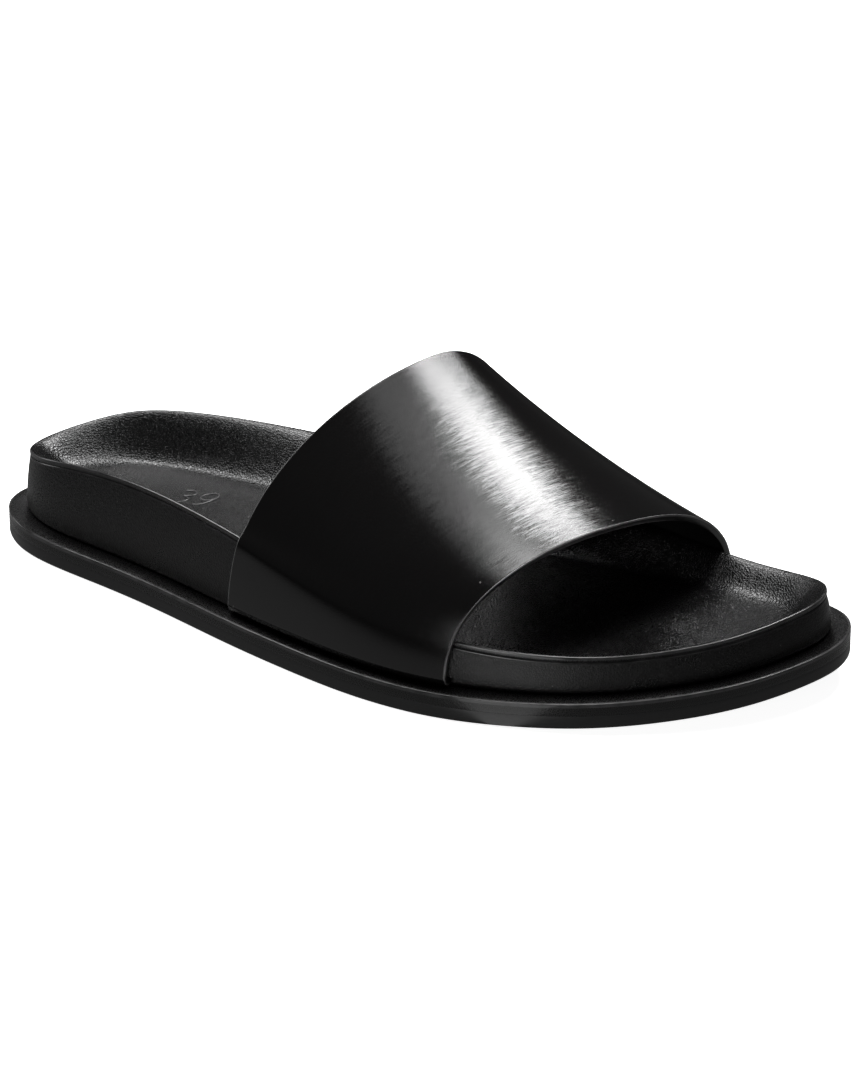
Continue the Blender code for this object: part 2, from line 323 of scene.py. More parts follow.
# Single grains of dust, far apart.
def makeDust():
    tree, given, out = newGroup("loneDust", (("Cells per metre", 260.0), ("Size", 0.05)), ("Speck",))
    cells = addNode(tree, "ShaderNodeTexVoronoi", {"feature": "F1"}, Scale=1.0,
                    Vector=scaledPlace(tree, given.outputs["Cells per metre"]))
    parted = addNode(tree, "ShaderNodeSeparateColor", Color=cells.outputs["Color"])
    chosen = mathNode(tree, "GREATER_THAN", parted.outputs[0], 0.82)
    size = mathNode(tree, "MULTIPLY", given.outputs["Size"], parted.outputs[1])
    inside = mathNode(tree, "LESS_THAN", cells.outputs["Distance"], size)
    setSockets(tree, out, Speck=mathNode(tree, "MULTIPLY", chosen, inside))
    return tree


leatherGrain = makeLeatherGrain()
handPolish = makePolish()
loneDust = makeDust()


def useGroup(tree, group, **values):
    return addNode(tree, "ShaderNodeGroup", {"node_tree": group}, **values)


def newMaterial(name, roughness, specular):
    made = bpy.data.materials.new(name)
    made.use_nodes = True
    tree = made.node_tree
    shader = tree.nodes["Principled BSDF"]
    setSockets(tree, shader, Roughness=roughness, Specular_IOR_Level=specular)
    return made, tree, shader


def blendColours(tree, mask, first, second):
    made = addNode(tree, "ShaderNodeMix", {"data_type": "RGBA"}, Factor=mask)
    for i, colour in ((6, first), (7, second)):
        feed(tree, made.inputs[i], (*colour, 1.0) if isinstance(colour, tuple) else colour)
    return made.outputs[2]


def bumpFrom(tree, shader, height, distance):
    bump = addNode(tree, "ShaderNodeBump", Strength=1.0, Distance=distance * mm, Height=height)
    setSockets(tree, shader, Normal=bump.outputs["Normal"])
    return bump


# What the grained leathers of welt, wrap and cover have in common.
grained = {
    "dustColour": (0.10, 0.097, 0.094),
    "uneven": 0.6,
    "tooth": 5200.0,
    "toothShare": 0.10,
    "creaseRough": 0.12,
}


def grainedLeather(name, look):
    made, tree, shader = newMaterial(name, look["roughness"], look["specular"])
    grain = useGroup(tree, leatherGrain, Cells_per_metre=look["cells"], Unevenness=look["uneven"])
    polish = useGroup(tree, handPolish, Patch=look["patch"], Tooth=look["tooth"])
    patches = polish.outputs["Patches"]
    crease = grain.outputs["Crease"]
    dark = blendColours(tree, patches, look["colour"], look["colourWorn"])
    creased = blendColours(tree, crease, dark, look["colourCrease"])
    speck = useGroup(tree, loneDust).outputs["Speck"]
    rough = mathNode(tree, "MULTIPLY_ADD", patches, look["roughSpread"], look["roughness"])
    height = mathNode(tree, "MULTIPLY_ADD", polish.outputs["Fine"], look["toothShare"],
                      grain.outputs["Height"])
    setSockets(tree, shader, Base_Color=blendColours(tree, speck, creased, look["dustColour"]),
               Roughness=mathNode(tree, "MULTIPLY_ADD", crease, look["creaseRough"], rough))
    bumpFrom(tree, shader, height, look["grainDepth"])
    return made


# Painted highlight: colours far paler than the leather stand in for the shine along its rounded edges.
paintedHighlightEdge = {
    "colour": (0.022, 0.022, 0.022),
    "colourWorn": (0.055, 0.054, 0.055),
    "roughness": 0.10,
    "roughSpread": 0.08,
    "toothDepth": 0.006,
}


# Rubbed shiny line along an edge of the same leather, whose paler colour is a painted highlight.
def paintedHighlightLeather(name, look, roughness=paintedHighlightEdge["roughness"]):
    paintedHighlight = paintedHighlightEdge
    made, tree, shader = newMaterial(name, roughness, look["specular"])
    polish = useGroup(tree, handPolish, Patch=150.0, Tooth=1400.0)
    patches = polish.outputs["Patches"]
    setSockets(tree, shader,
               Base_Color=blendColours(tree, patches, paintedHighlight["colour"], paintedHighlight["colourWorn"]),
               Roughness=mathNode(tree, "MULTIPLY_ADD", patches, paintedHighlight["roughSpread"], roughness))
    bumpFrom(tree, shader, polish.outputs["Fine"], paintedHighlight["toothDepth"])
    return made


outsole = {
    "edgeRound": 0.55,
    "jointRound": 0.04,
    "borderAt": 6.0,         # groove that follows the edge on the underside
    "borderHalf": 0.8,
    "borderDepth": 0.7,
    "ridgePitch": 2.6,       # fine ridges inside the border, under the ball and the heel
    "ridgeDepth": 0.45,
    "shankAt": -28.0,        # plain stretch between the two fields
    "shankHalf": 34.0,
    "fieldFade": 2.0,
    "shankFade": 12.0,
    "reach": 45.0,           # the rings of the underside run this far in
    "ringStep": 0.65,
    "colour": (0.0045, 0.0045, 0.0047),
    "colourScuffed": (0.0080, 0.0080, 0.0082),
    "roughness": 0.34,
    "trimLines": (40.0, 40.0, 3200.0),       # lines per metre along X, Y and Z
    "trimDepth": 0.030,
}


def outsoleRubber():
    look = outsole
    made, tree, shader = newMaterial("blackRubber", look["roughness"], 0.45)
    polish = useGroup(tree, handPolish, Patch=45.0, Tooth=1800.0)
    patches, fine = polish.outputs["Patches"], polish.outputs["Fine"]
    # faint lines of the trimmed edge run level round the side
    place = addNode(tree, "ShaderNodeMapping", Vector=objectPlace(tree), Scale=look["trimLines"])
    lines = addNode(tree, "ShaderNodeTexNoise", Vector=place.outputs[0], Scale=1.0, Detail=2.0)
    rough = mathNode(tree, "MULTIPLY_ADD", patches, 0.14, look["roughness"] - 0.05)
    setSockets(tree, shader,
               Base_Color=blendColours(tree, patches, look["colour"], look["colourScuffed"]),
               Roughness=mathNode(tree, "MULTIPLY_ADD", fine, 0.06, rough))
    bumpFrom(tree, shader, mathNode(tree, "MULTIPLY_ADD", fine, 0.35, lines.outputs["Fac"]),
             look["trimDepth"])
    return made


def makeOutsole():
    look = outsole
    top = soleShape["outsoleTop"] - soleShape["jointGap"]
    rings = []
    steps = int(look["reach"] / look["ringStep"]) + 1
    for distance in (look["reach"] - look["ringStep"] * i for i in range(steps)):
        if distance <= look["edgeRound"]:
            continue
        points, walked = inwardRing(0.0, distance, 0.0)
        field = np.clip((walked - look["borderAt"] - look["fieldFade"]) / look["fieldFade"], 0, 1)
        fromShank = np.abs(points[:, 0] - look["shankAt"]) - look["shankHalf"]
        field *= np.clip(fromShank / look["shankFade"], 0, 1)
        ridge = 0.5 - 0.5 * np.cos(2 * math.pi * walked / look["ridgePitch"])
        border = np.exp(-((walked - look["borderAt"]) / look["borderHalf"]) ** 4)
        rings.append(overGround(points, look["borderDepth"] * border + look["ridgeDepth"] * ridge * field))
    for angle in quarterTurn(6):
        points = soleEdge(ringTurns, look["edgeRound"] * (1 - math.sin(angle)))
        rings.append(overGround(points, look["edgeRound"] * (1 - math.cos(angle))))
    plainSide = soleShape["outsoleTop"] - look["edgeRound"] - soleShape["besideJoint"]
    for share in soleShape["sideShares"]:
        rings.append(overGround(soleEdge(ringTurns), look["edgeRound"] + share * plainSide))
    for angle in quarterTurn(4):
        points = soleEdge(ringTurns, look["jointRound"] * (1 - math.cos(angle)))
        rings.append(overGround(points, top - look["jointRound"] * (1 - math.sin(angle))))
    for distance in soleShape["innerRings"]:
        rings.append(overGround(inwardRing(0.0, distance, 0.0)[0], top))
    piece = ringSolid("outsole_rubber", rings, [outsoleRubber()])
    return onBody(piece, "outsole")


welt = {
    "edgeRound": 0.34,
    "jointRound": 0.04,
    "crown": 0.12,           # soft rise of its lip between edge and footbed
    "footSink": 0.12,        # it is pressed down where the footbed stands
    "uneven": 0.05,
    "unevenSize": 7.0,
    "lipRings": (0.8, 1.4, 2.1, 2.8, 3.5, 4.2, 4.9, 5.6, 6.4),
    "leather": {
        **grained,
        "colour": (0.0015, 0.0014, 0.0015), "colourWorn": (0.0026, 0.0025, 0.0026),
        "colourCrease": (0.0008, 0.0008, 0.0008),
        "roughness": 0.19, "roughSpread": 0.06, "specular": 0.4,
        "cells": 1500.0, "patch": 50.0, "grainDepth": 0.038,
    },
}


def makeWelt():
    look = welt
    base = soleShape["outsoleTop"] + soleShape["jointGap"]
    top = soleShape["weltTop"]
    rings = []
    for distance in soleShape["innerRings"][::-1]:
        rings.append(overGround(inwardRing(0.0, distance, 0.0)[0], base))
    for angle in quarterTurn(4):
        points = soleEdge(ringTurns, look["jointRound"] * (1 - math.sin(angle)))
        rings.append(overGround(points, base + look["jointRound"] * (1 - math.cos(angle))))
    aboveJoint = base + soleShape["besideJoint"]
    for share in soleShape["sideShares"]:
        up = aboveJoint + share * (top - aboveJoint - look["edgeRound"])
        rings.append(overGround(soleEdge(ringTurns), up))
    # from here up the welt's rounded top edge takes the paler painted highlight
    highlightFrom = len(rings) - 1
    for angle in quarterTurn(6):
        points = soleEdge(ringTurns, look["edgeRound"] * (1 - math.cos(angle)))
        rings.append(overGround(points, top - look["edgeRound"] * (1 - math.sin(angle))))
    paintedHighlight = range(highlightFrom, len(rings))
    for distance in look["lipRings"] + soleShape["innerRings"][1:]:
        points = inwardRing(0.0, distance, 0.0)[0]
        lip = np.clip(distance / soleShape["lip"], 0, 1)
        swell = math.sin(math.pi * lip)
        sway = handMade(points[:, 0], points[:, 1], look["unevenSize"])
        rings.append(overWelt(points, look["crown"] * swell - look["footSink"] * lip ** 3
                              + look["uneven"] * swell * sway))
    leather = look["leather"]
    piece = ringSolid("welt_leather", rings, [grainedLeather("weltLeather", leather),
                                              paintedHighlightLeather("weltEdgePaintedHighlight", leather)], highlightLevels=paintedHighlight)
    return onBody(piece, "welt")


footbed = {
    "wallLean": 1.5,
    "wallBulge": 0.35,
    "footTuck": 1.0,         # the leather turns in at the wall's foot
    "footTuckHigh": 1.5,
    "rimRound": 0.45,
    "coverThick": 1.3,
    "rimDrop": 0.7,
    "toeCrest": 1.3,
    "crestAt": 0.83,
    "crestSpread": 0.035,
    "bowlSkew": 0.88,        # below 1 the bowl's wall is steepest near its rim
    "uneven": 0.10,
    "unevenSize": 9.0,
    "seat": 0.04,            # it stands this far above the welt
    "rimGap": 0.05,
    "coverGap": 0.06,        # between the wrap's top and the cover
    "underRings": (34, 24, 14, 7, 3, 1.5),
    "wallRings": 22,
    "wallCrowding": 1.4,     # above 1 the rings crowd at the wall's foot
    # share of the length, rim on the outer and inner side, bed, run of the bowl's two walls
    "rows": (
        (0.00, 18.8, 18.8, 12.8, 15.0, 15.0), (0.05, 21.6, 21.6, 12.3, 14.5, 15.5),
        (0.10, 24.2, 24.4, 12.3, 14.0, 16.5), (0.18, 26.2, 27.0, 13.3, 13.5, 18.0),
        (0.27, 25.9, 28.7, 15.0, 13.0, 20.0), (0.36, 24.0, 29.0, 16.2, 12.0, 23.0),
        (0.45, 20.5, 27.6, 14.4, 12.0, 24.0), (0.54, 17.1, 24.7, 10.2, 12.0, 20.0),
        (0.63, 14.3, 20.6, 7.2, 12.0, 16.0), (0.72, 12.4, 16.2, 5.2, 12.0, 13.0),
        (0.80, 11.5, 13.1, 4.4, 11.0, 12.0), (0.88, 11.4, 11.6, 4.4, 11.0, 12.0),
        (0.94, 11.9, 11.9, 4.9, 12.0, 12.0), (1.00, 13.0, 13.0, 5.8, 13.0, 13.0)),
    "leather": {
        **grained,
        "colour": (0.0022, 0.0021, 0.0022), "colourWorn": (0.0038, 0.0036, 0.0038),
        "colourCrease": (0.0010, 0.0010, 0.0010),
        "roughness": 0.25, "roughSpread": 0.08, "specular": 0.5,
        "cells": 1400.0, "patch": 40.0, "grainDepth": 0.085,
    },
}
bedRows = np.array(footbed["rows"])
bedNames = ("outerRim", "innerRim", "bed", "outerRun", "innerRun")
bedAt = {name: smoothCurve(bedRows[:, 0], bedRows[:, i + 1]) for i, name in enumerate(bedNames)}


def sideValues(outerName, innerName):
    at = lengthShare(soleEdge(ringTurns)[:, 0])
    innerShare = 0.5 + 0.5 * np.tanh(np.sin(ringTurns) / 0.15)
    outer = bedAt[outerName](at)
    return outer + (bedAt[innerName](at) - outer) * innerShare


def bedRing(distance, share, depth, edgeDrop=True):
    look = footbed
    points, walked = inwardRing(soleShape["lip"] + look["wallLean"], distance, share)
    x = points[:, 0]
    down = np.clip(walked / sideValues("outerRun", "innerRun"), 0, 1)
    fade = 0.5 + 0.5 * np.cos(math.pi * down ** look["bowlSkew"])
    at = lengthShare(x)
    crest = look["toeCrest"] * np.exp(-((at - look["crestAt"]) / look["crestSpread"]) ** 2) * (1 - fade)
    low = bedAt["bed"](at) + crest
    top = sideValues("outerRim", "innerRim")
    z = weltTop(x) + low + (top - low) * fade - depth
    if edgeDrop:
        z = z - look["rimDrop"] * (1 - np.sqrt(1 - np.clip(1 - walked, 0, 1) ** 2))
    return np.column_stack([points, z])


# Steps of the bed's rings: millimetres in from the rim, then shares of the way to the middle.
bedSteps = [(0.08 * i, 0.0) for i in range(1, 6)] + [(0.6, 0.0), (0.8, 0.0), (1.0, 0.0), (1.4, 0.0)]
bedSteps += [(2.0 + 0.9 * i, 0.0) for i in range(21)] + [(20.0, 0.03 + 0.06 * i) for i in range(16)]


def makeFootbed():
    look = footbed
    top = sideValues("outerRim", "innerRim") - look["rimDrop"] - look["coverThick"] - look["rimGap"]
    high = top - look["rimRound"]
    side = soleEdge(ringTurns)
    sway = look["uneven"] * handMade(side[:, 0], side[:, 1], look["unevenSize"], 0.4)
    rings = []
    for distance in look["underRings"]:
        rings.append(overWelt(inwardRing(soleShape["lip"], distance, 0.0)[0], look["seat"]))
    for share in np.linspace(0, 1, look["wallRings"]) ** look["wallCrowding"]:
        tuck = look["footTuck"] * np.clip(1 - share * high / look["footTuckHigh"], 0, 1) ** 2
        swell = math.sin(math.pi * share)
        stepIn = soleShape["lip"] + look["wallLean"] * share - look["wallBulge"] * swell
        points = soleEdge(ringTurns, (stepIn + tuck + sway * swell)[:, None])
        rings.append(overWelt(points, look["seat"] + share * high))
    # from here up the wrap's rounded rim takes the paler painted highlight
    highlightFrom = len(rings) - 1
    for angle in quarterTurn(6)[1:]:
        stepIn = soleShape["lip"] + look["wallLean"] + look["rimRound"] * (1 - math.cos(angle))
        points = soleEdge(ringTurns, stepIn)
        rings.append(overWelt(points, look["seat"] + top - look["rimRound"] * (1 - math.sin(angle))))
    paintedHighlight = range(highlightFrom, len(rings))
    for distance, share in bedSteps[6::3]:
        rings.append(bedRing(distance, share, look["coverThick"] + look["coverGap"]))
    leather = look["leather"]
    piece = ringSolid("footbed_wrap", rings, [grainedLeather("footbedLeather", leather),
                                              paintedHighlightLeather("wrapEdgePaintedHighlight", leather)], highlightLevels=paintedHighlight)
    cutForStrap(piece)
    return onBody(piece, "footbed")


cover = {
    "cutDepths": (1.4, 1.2, 1.0, 0.85),      # rings of its cut edge, below the rim
    # rings of the cut edge that take the paler painted highlight
    "highlightRings": (2, 9),   # counted from the first ring of the cut edge
    "uneven": 0.05,
    "unevenSize": 6.0,
    "forms": (                # soft forms of the bed: place, spread, height
        ("ball pad", -2.0, -8.0, 20.0, 17.0, 1.0),
        ("toe pad", 84.0, 0.0, 9.0, 8.0, 0.8),
        ("heel hollow", -92.0, 0.0, 20.0, 13.0, -0.6),
        ("toe hollow", 70.0, -16.0, 10.0, 12.0, -0.3)),
    "leather": {
        **grained,
        "colour": (0.0016, 0.0015, 0.0016), "colourWorn": (0.0028, 0.0027, 0.0028),
        "colourCrease": (0.0008, 0.0008, 0.0008),
        "roughness": 0.15, "roughSpread": 0.05, "specular": 0.5,
        "cells": 1400.0, "patch": 40.0, "grainDepth": 0.060,
    },
}


def shapedBed(distance, share):
    points = bedRing(distance, share, 0.0)
    walked = inwardRing(soleShape["lip"] + footbed["wallLean"], distance, share)[1]
    inside = np.clip(walked / 14.0, 0, 1) ** 2
    for name, x, y, spreadX, spreadY, high in cover["forms"]:
        away = ((points[:, 0] - x) / spreadX) ** 2 + ((points[:, 1] - y) / spreadY) ** 2
        points[:, 2] += high * np.exp(-away) * inside
    sway = handMade(points[:, 0], points[:, 1], cover["unevenSize"], 1.1)
    points[:, 2] += cover["uneven"] * sway * np.clip(walked / 3, 0, 1)
    return points


# Plain size number of thin raised strokes on the heel's bed.
sizeNumber = {
    "text": "39",
    "place": (-77.0, -8.0),
    "tall": 9.0,
    "spacing": 7.4,
    "slant": 0.18,
    "stroke": 0.36,
    "sunk": 0.02,
    "roughness": 0.20,
    "steps": 64,             # points along a stroke
    "sides": 8,
    "digits": {
        "3": ((0.05, 0.90), (0.30, 1.00), (0.52, 0.86), (0.50, 0.64), (0.24, 0.53), (0.50, 0.44),
              (0.58, 0.22), (0.38, 0.02), (0.12, 0.03), (0.00, 0.12)),
        "9": ((0.58, 0.66), (0.42, 0.44), (0.16, 0.46), (0.04, 0.68), (0.16, 0.93), (0.40, 0.99),
              (0.58, 0.80), (0.58, 0.66), (0.52, 0.32), (0.30, 0.03), (0.10, 0.04))},
}


def makeSizeNumber(bed):
    look = sizeNumber
    surface = BVHTree.FromPolygons([v.co for v in bed.data.vertices],
                                   [list(face.vertices) for face in bed.data.polygons])
    points = []
    faces = []
    for place, digit in enumerate(look["text"]):
        knots = np.array(look["digits"][digit])
        last = len(knots) - 1.0
        at = np.linspace(0, last, look["steps"])
        curve = [smoothCurve(np.arange(last + 1), knots[:, k])(at) * look["tall"] for k in (0, 1)]
        x = look["place"][0] + place * look["spacing"] + curve[0] + look["slant"] * curve[1]
        y = look["place"][1] + curve[1]
        path = []
        for px, py in zip(x, y):
            spot = Vector(((px - boxShift[0]) * mm, (py - boxShift[1]) * mm, 0.1))
            path.append(surface.ray_cast(spot, Vector((0, 0, -1)))[0] / mm + Vector(boxShift))
        path = np.array(path) - (0, 0, look["sunk"])
        way = np.gradient(path, axis=0)
        way /= np.linalg.norm(way, axis=1, keepdims=True)
        side = np.cross(way, (0, 0, 1))
        side /= np.linalg.norm(side, axis=1, keepdims=True)
        up = np.cross(side, way)
        thin = look["stroke"] * np.sqrt(np.clip(np.minimum(at, last - at) * 3, 0.02, 1))[:, None]
        faces += tubeFaces(look["sides"], look["steps"], first=sum(len(p) for p in points))
        for angle in np.linspace(0, 2 * math.pi, look["sides"] + 1)[:-1]:
            points.append(path + thin * (math.cos(angle) * side + math.sin(angle) * up))
    # the raised strokes take the paler painted-highlight leather
    number = makeMesh("size_number", np.vstack(points), faces,
                      [paintedHighlightLeather("numberPaintedHighlight", cover["leather"], look["roughness"])], sharp=60)
    return onBody(number, None)


def makeCover():
    underside = [bedRing(distance, share, footbed["coverThick"]) for distance, share in bedSteps[::-1][::2]]
    cutEdge = [bedRing(0.0, 0.0, depth, edgeDrop=False) for depth in cover["cutDepths"]]
    upside = [bedRing(0.0, 0.0, 0.0)] + [shapedBed(distance, share) for distance, share in bedSteps]
    # the cover's cut edge takes the paler painted highlight
    paintedHighlight = range(*(len(underside) + ring for ring in cover["highlightRings"]))
    leather = cover["leather"]
    piece = ringSolid("footbed_cover", underside + cutEdge + upside,
                      [grainedLeather("coverLeather", leather), paintedHighlightLeather("coverEdgePaintedHighlight", leather)],
                      highlightLevels=paintedHighlight)
    makeSizeNumber(piece)
    return onBody(piece, "insole")


strap = {
    "thick": 2.2,
    "leatherShare": 0.58,    # outer leather's share of the thickness, lining is the rest
    "bend": 2.8,
    "lasted": (12.0, 9.0, 6.0, 3.5, 1.5, 0.0),   # rows of the ends that lie under the footbed
    "seat": 0.3,             # the ends lie this far above the welt
    "spaceAbove": 0.3,       # and the footbed this far above them
    "spaceBeside": 0.35,
    "ease": 0.7,
    "soften": (2.2, 4.2),    # how far each row's line is smoothed at the rear and the front edge
    "clear": 0.5,
    "bendWeight": 20.0,
    "nearEdge": (0.0, 0.04, 0.09, 0.15, 0.22, 0.32, 0.5),    # extra rows beside the cut edges
    "wide": 75.0,            # from the rear to the front edge
    "rows": 92,
    "across": 232,
    "edgeRound": 0.34,
    "beadOut": 0.14,
    # where the edges meet the sole, crown, sweep of the crown to the toe, squareness of the flanks
    "sizes": ("outerX", "innerX", "crown", "sweep", "crownY", "outerFlat", "outerTall",
              "innerFlat", "innerTall"),
    "rear": (-38.0, 15.0, 78.0, 15.5, 13.5, 2.10, 2.05, 2.40, 2.35),
    "middle": (0.7, 51.4, 59.8, 10.4, 0.3, 2.05, 2.33, 2.16, 2.44),
    "front": (39.5, 87.5, 47.0, 5.4, -13.0, 2.00, 2.62, 1.90, 2.52),
    "colour": (0.0018, 0.0016, 0.0017),
    "colourStreak": (0.0032, 0.0030, 0.0030),
    "liningColour": (0.0020, 0.0019, 0.0020),
    "liningWorn": (0.0032, 0.0031, 0.0032),
    "edgeColour": (0.0030, 0.0029, 0.0030),
    "edgeWorn": (0.0080, 0.0078, 0.0080),
    "paintedHighlightColour": (0.120, 0.118, 0.120),       # thin pale line on the bead: a painted highlight along the cut edge
    "paintedHighlightWorn": (0.260, 0.257, 0.260),
    "paintedHighlightSides": (1, 2, 3),                    # sides of the bead next to the outer face
    "dustColour": (0.10, 0.097, 0.094),
    "roughness": 0.12,
    "hairTip": 0.28,         # how far the glazing's hairs tip the shine
    "hairAtRear": 0.40,
    "hairReach": (0.012, 0.040),
    "hairFade": 0.060,       # the hairs are full this far from the rear edge
    "hairMiddle": -0.006,
    "hairs": ((230.0, 2500.0, 0.8), (560.0, 5600.0, 0.6)),   # per metre across, along, and waver
    "toothDepth": 0.010,
}


def sideLine(inwards, inner):
    turn = np.linspace(0.15, math.pi - 0.15, 1201)
    points = soleEdge(turn if inner else 2 * math.pi - turn, inwards)
    return lambda x: np.interp(x, points[:, 0], points[:, 1])


wallLines = {inner: sideLine(soleShape["lip"] - strap["thick"] - strap["clear"], inner)
             for inner in (False, True)}


def strapSizes(share):
    weights = ((1 - share) * (1 - 2 * share), 4 * share * (1 - share), share * (2 * share - 1))
    rows = (strap["rear"], strap["middle"], strap["front"])
    return {name: sum(w * row[i] for w, row in zip(weights, rows))
            for i, name in enumerate(strap["sizes"])}


def strapFlank(size, inner, stand):
    look = strap
    side = 1 if inner else -1
    angle = np.linspace(0, math.pi / 2, 700)
    footX, flat, tall = ((size["innerX"], size["innerFlat"], size["innerTall"]) if inner else
                         (size["outerX"], size["outerFlat"], size["outerTall"]))
    standOff = look["thick"] + look["clear"]
    wallLine = wallLines[inner]
    toOther = (size["innerX"] - size["outerX"]) * (-side)
    x = footX + toOther * (1 - np.cos(angle)) / 2 + size["sweep"] * np.sin(angle) ** 2
    footZ = weltTop(footX) + look["seat"]
    z = footZ + (size["crown"] - footZ) * np.sin(angle) ** (2 / tall)
    y = size["crownY"] + (wallLine(footX) - size["crownY"]) * np.cos(angle) ** (2 / flat)
    base = weltTop(x) + look["seat"]
    rim = bedAt["innerRim" if inner else "outerRim"](lengthShare(x))
    over = z - base - rim
    roundRim = np.sqrt(np.clip(standOff ** 2 - np.clip(over, 0, None) ** 2, 0, None)) - standOff
    wall = side * wallLine(x) - footbed["wallLean"] * np.clip((z - base) / rim, 0, 1) + roundRim
    wall -= 5 * np.clip(over - standOff, 0, None)
    ease = look["ease"]
    wall += stand
    points = np.column_stack([x, side * (wall + ease * np.logaddexp(0, (side * y - wall) / ease)), z])
    start = footZ + look["bend"]
    first = int(np.argmax(z > start))
    part = (start - z[first - 1]) / (z[first] - z[first - 1])
    return np.vstack([points[first - 1] + part * (points[first] - points[first - 1]), points[first:]])


def strapEnd(size, inner):
    look = strap
    side = 1 if inner else -1
    x = size["innerX"] if inner else size["outerX"]
    face = side * wallLines[inner](x)
    ground = weltTop(x) + look["seat"]
    points = [(x, side * (face - look["bend"] - reach), ground) for reach in look["lasted"]]
    for step in range(1, 8):
        angle = step * math.pi / 16
        points.append((x, side * (face - look["bend"] * (1 - math.sin(angle))),
                       ground + look["bend"] * (1 - math.cos(angle))))
    return np.array(points)


def spreadPoints(points, count, bendWeight):
    leg = np.diff(points, axis=0)
    length = np.linalg.norm(leg, axis=1)
    way = leg / length[:, None]
    turned = np.arccos(np.clip(np.sum(way[1:] * way[:-1], axis=1), -1, 1))
    walked = np.r_[0, np.cumsum(length + bendWeight * np.r_[0, turned])]
    at = np.linspace(0, walked[-1], count)
    return np.column_stack([np.interp(at, walked, points[:, k]) for k in range(3)])


# Row of points smoothed along its own length; its two ends stay where they are.
def softenRow(points, reach):
    walked = np.r_[0, np.cumsum(np.linalg.norm(np.diff(points, axis=0), axis=1))]
    step = 0.25
    count = int(walked[-1] / step)
    at = np.linspace(0, walked[-1], count)
    even = np.column_stack([np.interp(at, walked, points[:, k]) for k in range(3)])
    width = int(3 * reach / step)
    kernel = np.exp(-0.5 * (np.arange(-width, width + 1) * step / reach) ** 2)
    kernel /= kernel.sum()
    padded = np.vstack([2 * even[0] - even[width:0:-1], even, 2 * even[-1] - even[-2:-width - 2:-1]])
    smooth = np.column_stack([np.convolve(padded[:, k], kernel, "valid") for k in range(3)])
    fromEnd = np.minimum(at, at[-1] - at)
    part = np.clip(fromEnd / (2.5 * reach), 0, 1)
    part = (part * part * (3 - 2 * part))[:, None]
    return even + (smooth - even) * part


def strapGrid():
    look = strap
    nearEdge = np.array(look["nearEdge"]) / look["wide"]
    first = 1 / look["wide"]
    shares = np.r_[nearEdge, np.linspace(first, 1 - first, look["rows"]), 1 - nearEdge[::-1]]
    rows = []
    for share in shares:
        size = strapSizes(share)
        front = np.clip((share - 0.05) / 0.7, 0, 1)
        more = (look["soften"][1] - look["soften"][0]) * front
        reach = look["soften"][0] + more
        stand = 0.10 * more
        arch = np.vstack([strapFlank(size, False, stand), strapFlank(size, True, stand)[::-1][1:]])
        arch = softenRow(arch, reach)
        arch = spreadPoints(arch, look["across"], look["bendWeight"])
        rows.append(np.vstack([strapEnd(size, False), arch, strapEnd(size, True)[::-1]]))
    return np.array(rows)


def gridNormals(grid):
    down = np.gradient(grid, axis=0)
    over = np.gradient(grid, axis=1)
    normal = np.cross(over, down)
    normal /= np.linalg.norm(normal, axis=2, keepdims=True)
    middle = grid.shape[1] // 2
    return normal if normal[0, middle, 2] > 0 else -normal


# Closed sheet between two grids of points; lay holds each point's place along and across, in metres.
def sheetBetween(name, outer, inner, lay, materials, acrossWay=None):
    rows, across = outer.shape[:2]
    count = rows * across
    faces = []
    for r in range(rows - 1):
        for c in range(across - 1):
            a = r * across + c
            faces.append((a, a + across, a + across + 1, a + 1))
            faces.append((count + a, count + a + 1, count + a + across + 1, count + a + across))
    border = list(range(across)) + [r * across + across - 1 for r in range(1, rows)]
    border += [(rows - 1) * across + c for c in range(across - 2, -1, -1)]
    border += [r * across for r in range(rows - 2, 0, -1)]
    for a, b in zip(border, border[1:] + border[:1]):
        faces.append((a, b, count + b, count + a))
    points = np.vstack([outer.reshape(-1, 3), inner.reshape(-1, 3)])
    piece = makeMesh(name, points, faces, materials, sharp=50)
    for label, values in (("lay", lay), ("acrossWay", acrossWay)):
        if values is not None:
            kept = piece.data.attributes.new(label, "FLOAT_VECTOR", "POINT")
            both = np.vstack([values.reshape(-1, 3), values.reshape(-1, 3)])
            kept.data.foreach_set("vector", both.astype(np.float32).ravel())
    return piece


